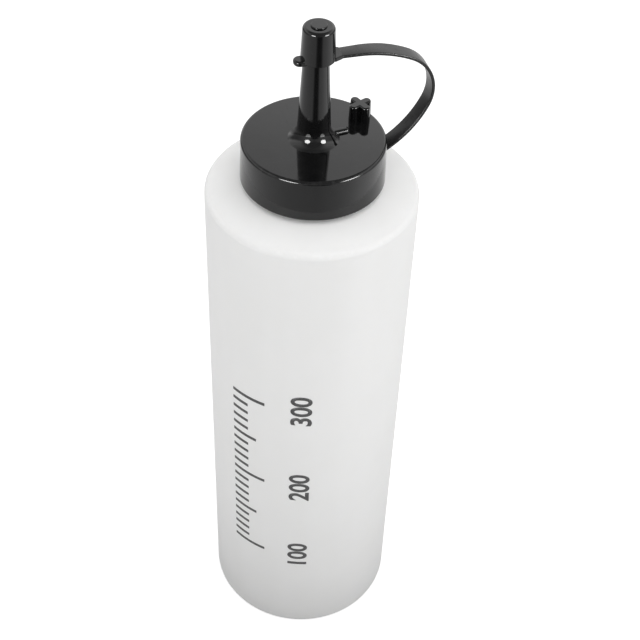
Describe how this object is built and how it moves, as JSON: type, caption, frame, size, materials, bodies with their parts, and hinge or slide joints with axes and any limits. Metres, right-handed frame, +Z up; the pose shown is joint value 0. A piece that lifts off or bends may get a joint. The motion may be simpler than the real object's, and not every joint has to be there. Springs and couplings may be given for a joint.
{
  "type": "condiment squeeze bottle",
  "caption": "Round translucent squeeze bottle for sauces, with a threaded neck, a black screw cap with a tall tapered nozzle and parking post, and a tip cap on a moulded strap.",
  "frame": {"origin": "middle of the base, on the surface that the bottle stands on", "axes": "+Z up along the bottle and the nozzle, +X towards the strap and the parking post, -X towards the thumb tab"},
  "size_m": [0.0641, 0.0612, 0.2287],
  "materials": {
    "bottle_plastic": "milky translucent soft plastic with a satin skin",
    "gasket_rubber": "matt off-white sealing ring",
    "cap_plastic": "glossy black moulded plastic"
  },
  "bodies": {
    "bottle": {"bottle": "bottle_plastic"},
    "gasket": {"neck_gasket": "gasket_rubber"},
    "closure": {"screw_cap": "cap_plastic", "strap": "cap_plastic"},
    "tip": {"tip_cap": "cap_plastic"}
  },
  "joints": [
    {"name": "cap_lift", "type": "slide", "parent": "bottle", "child": "gasket", "axis": [0, 0, 1], "range_m": [0, 0.0053]},
    {"name": "cap_twist", "type": "hinge", "parent": "gasket", "child": "closure", "pos_m": [0, 0, 0.193], "axis": [0, 0, 1], "range_deg": [0, 450]},
    {"name": "tip_cap_pull", "type": "slide", "parent": "closure", "child": "tip", "axis": [0, 0, 1], "range_m": [0, 0.014], "deforming": ["strap"]}
  ],
  "couplings": [
    {"joint": "cap_lift", "follows": "cap_twist", "m_per_rad": 0.0006737}
  ]
}
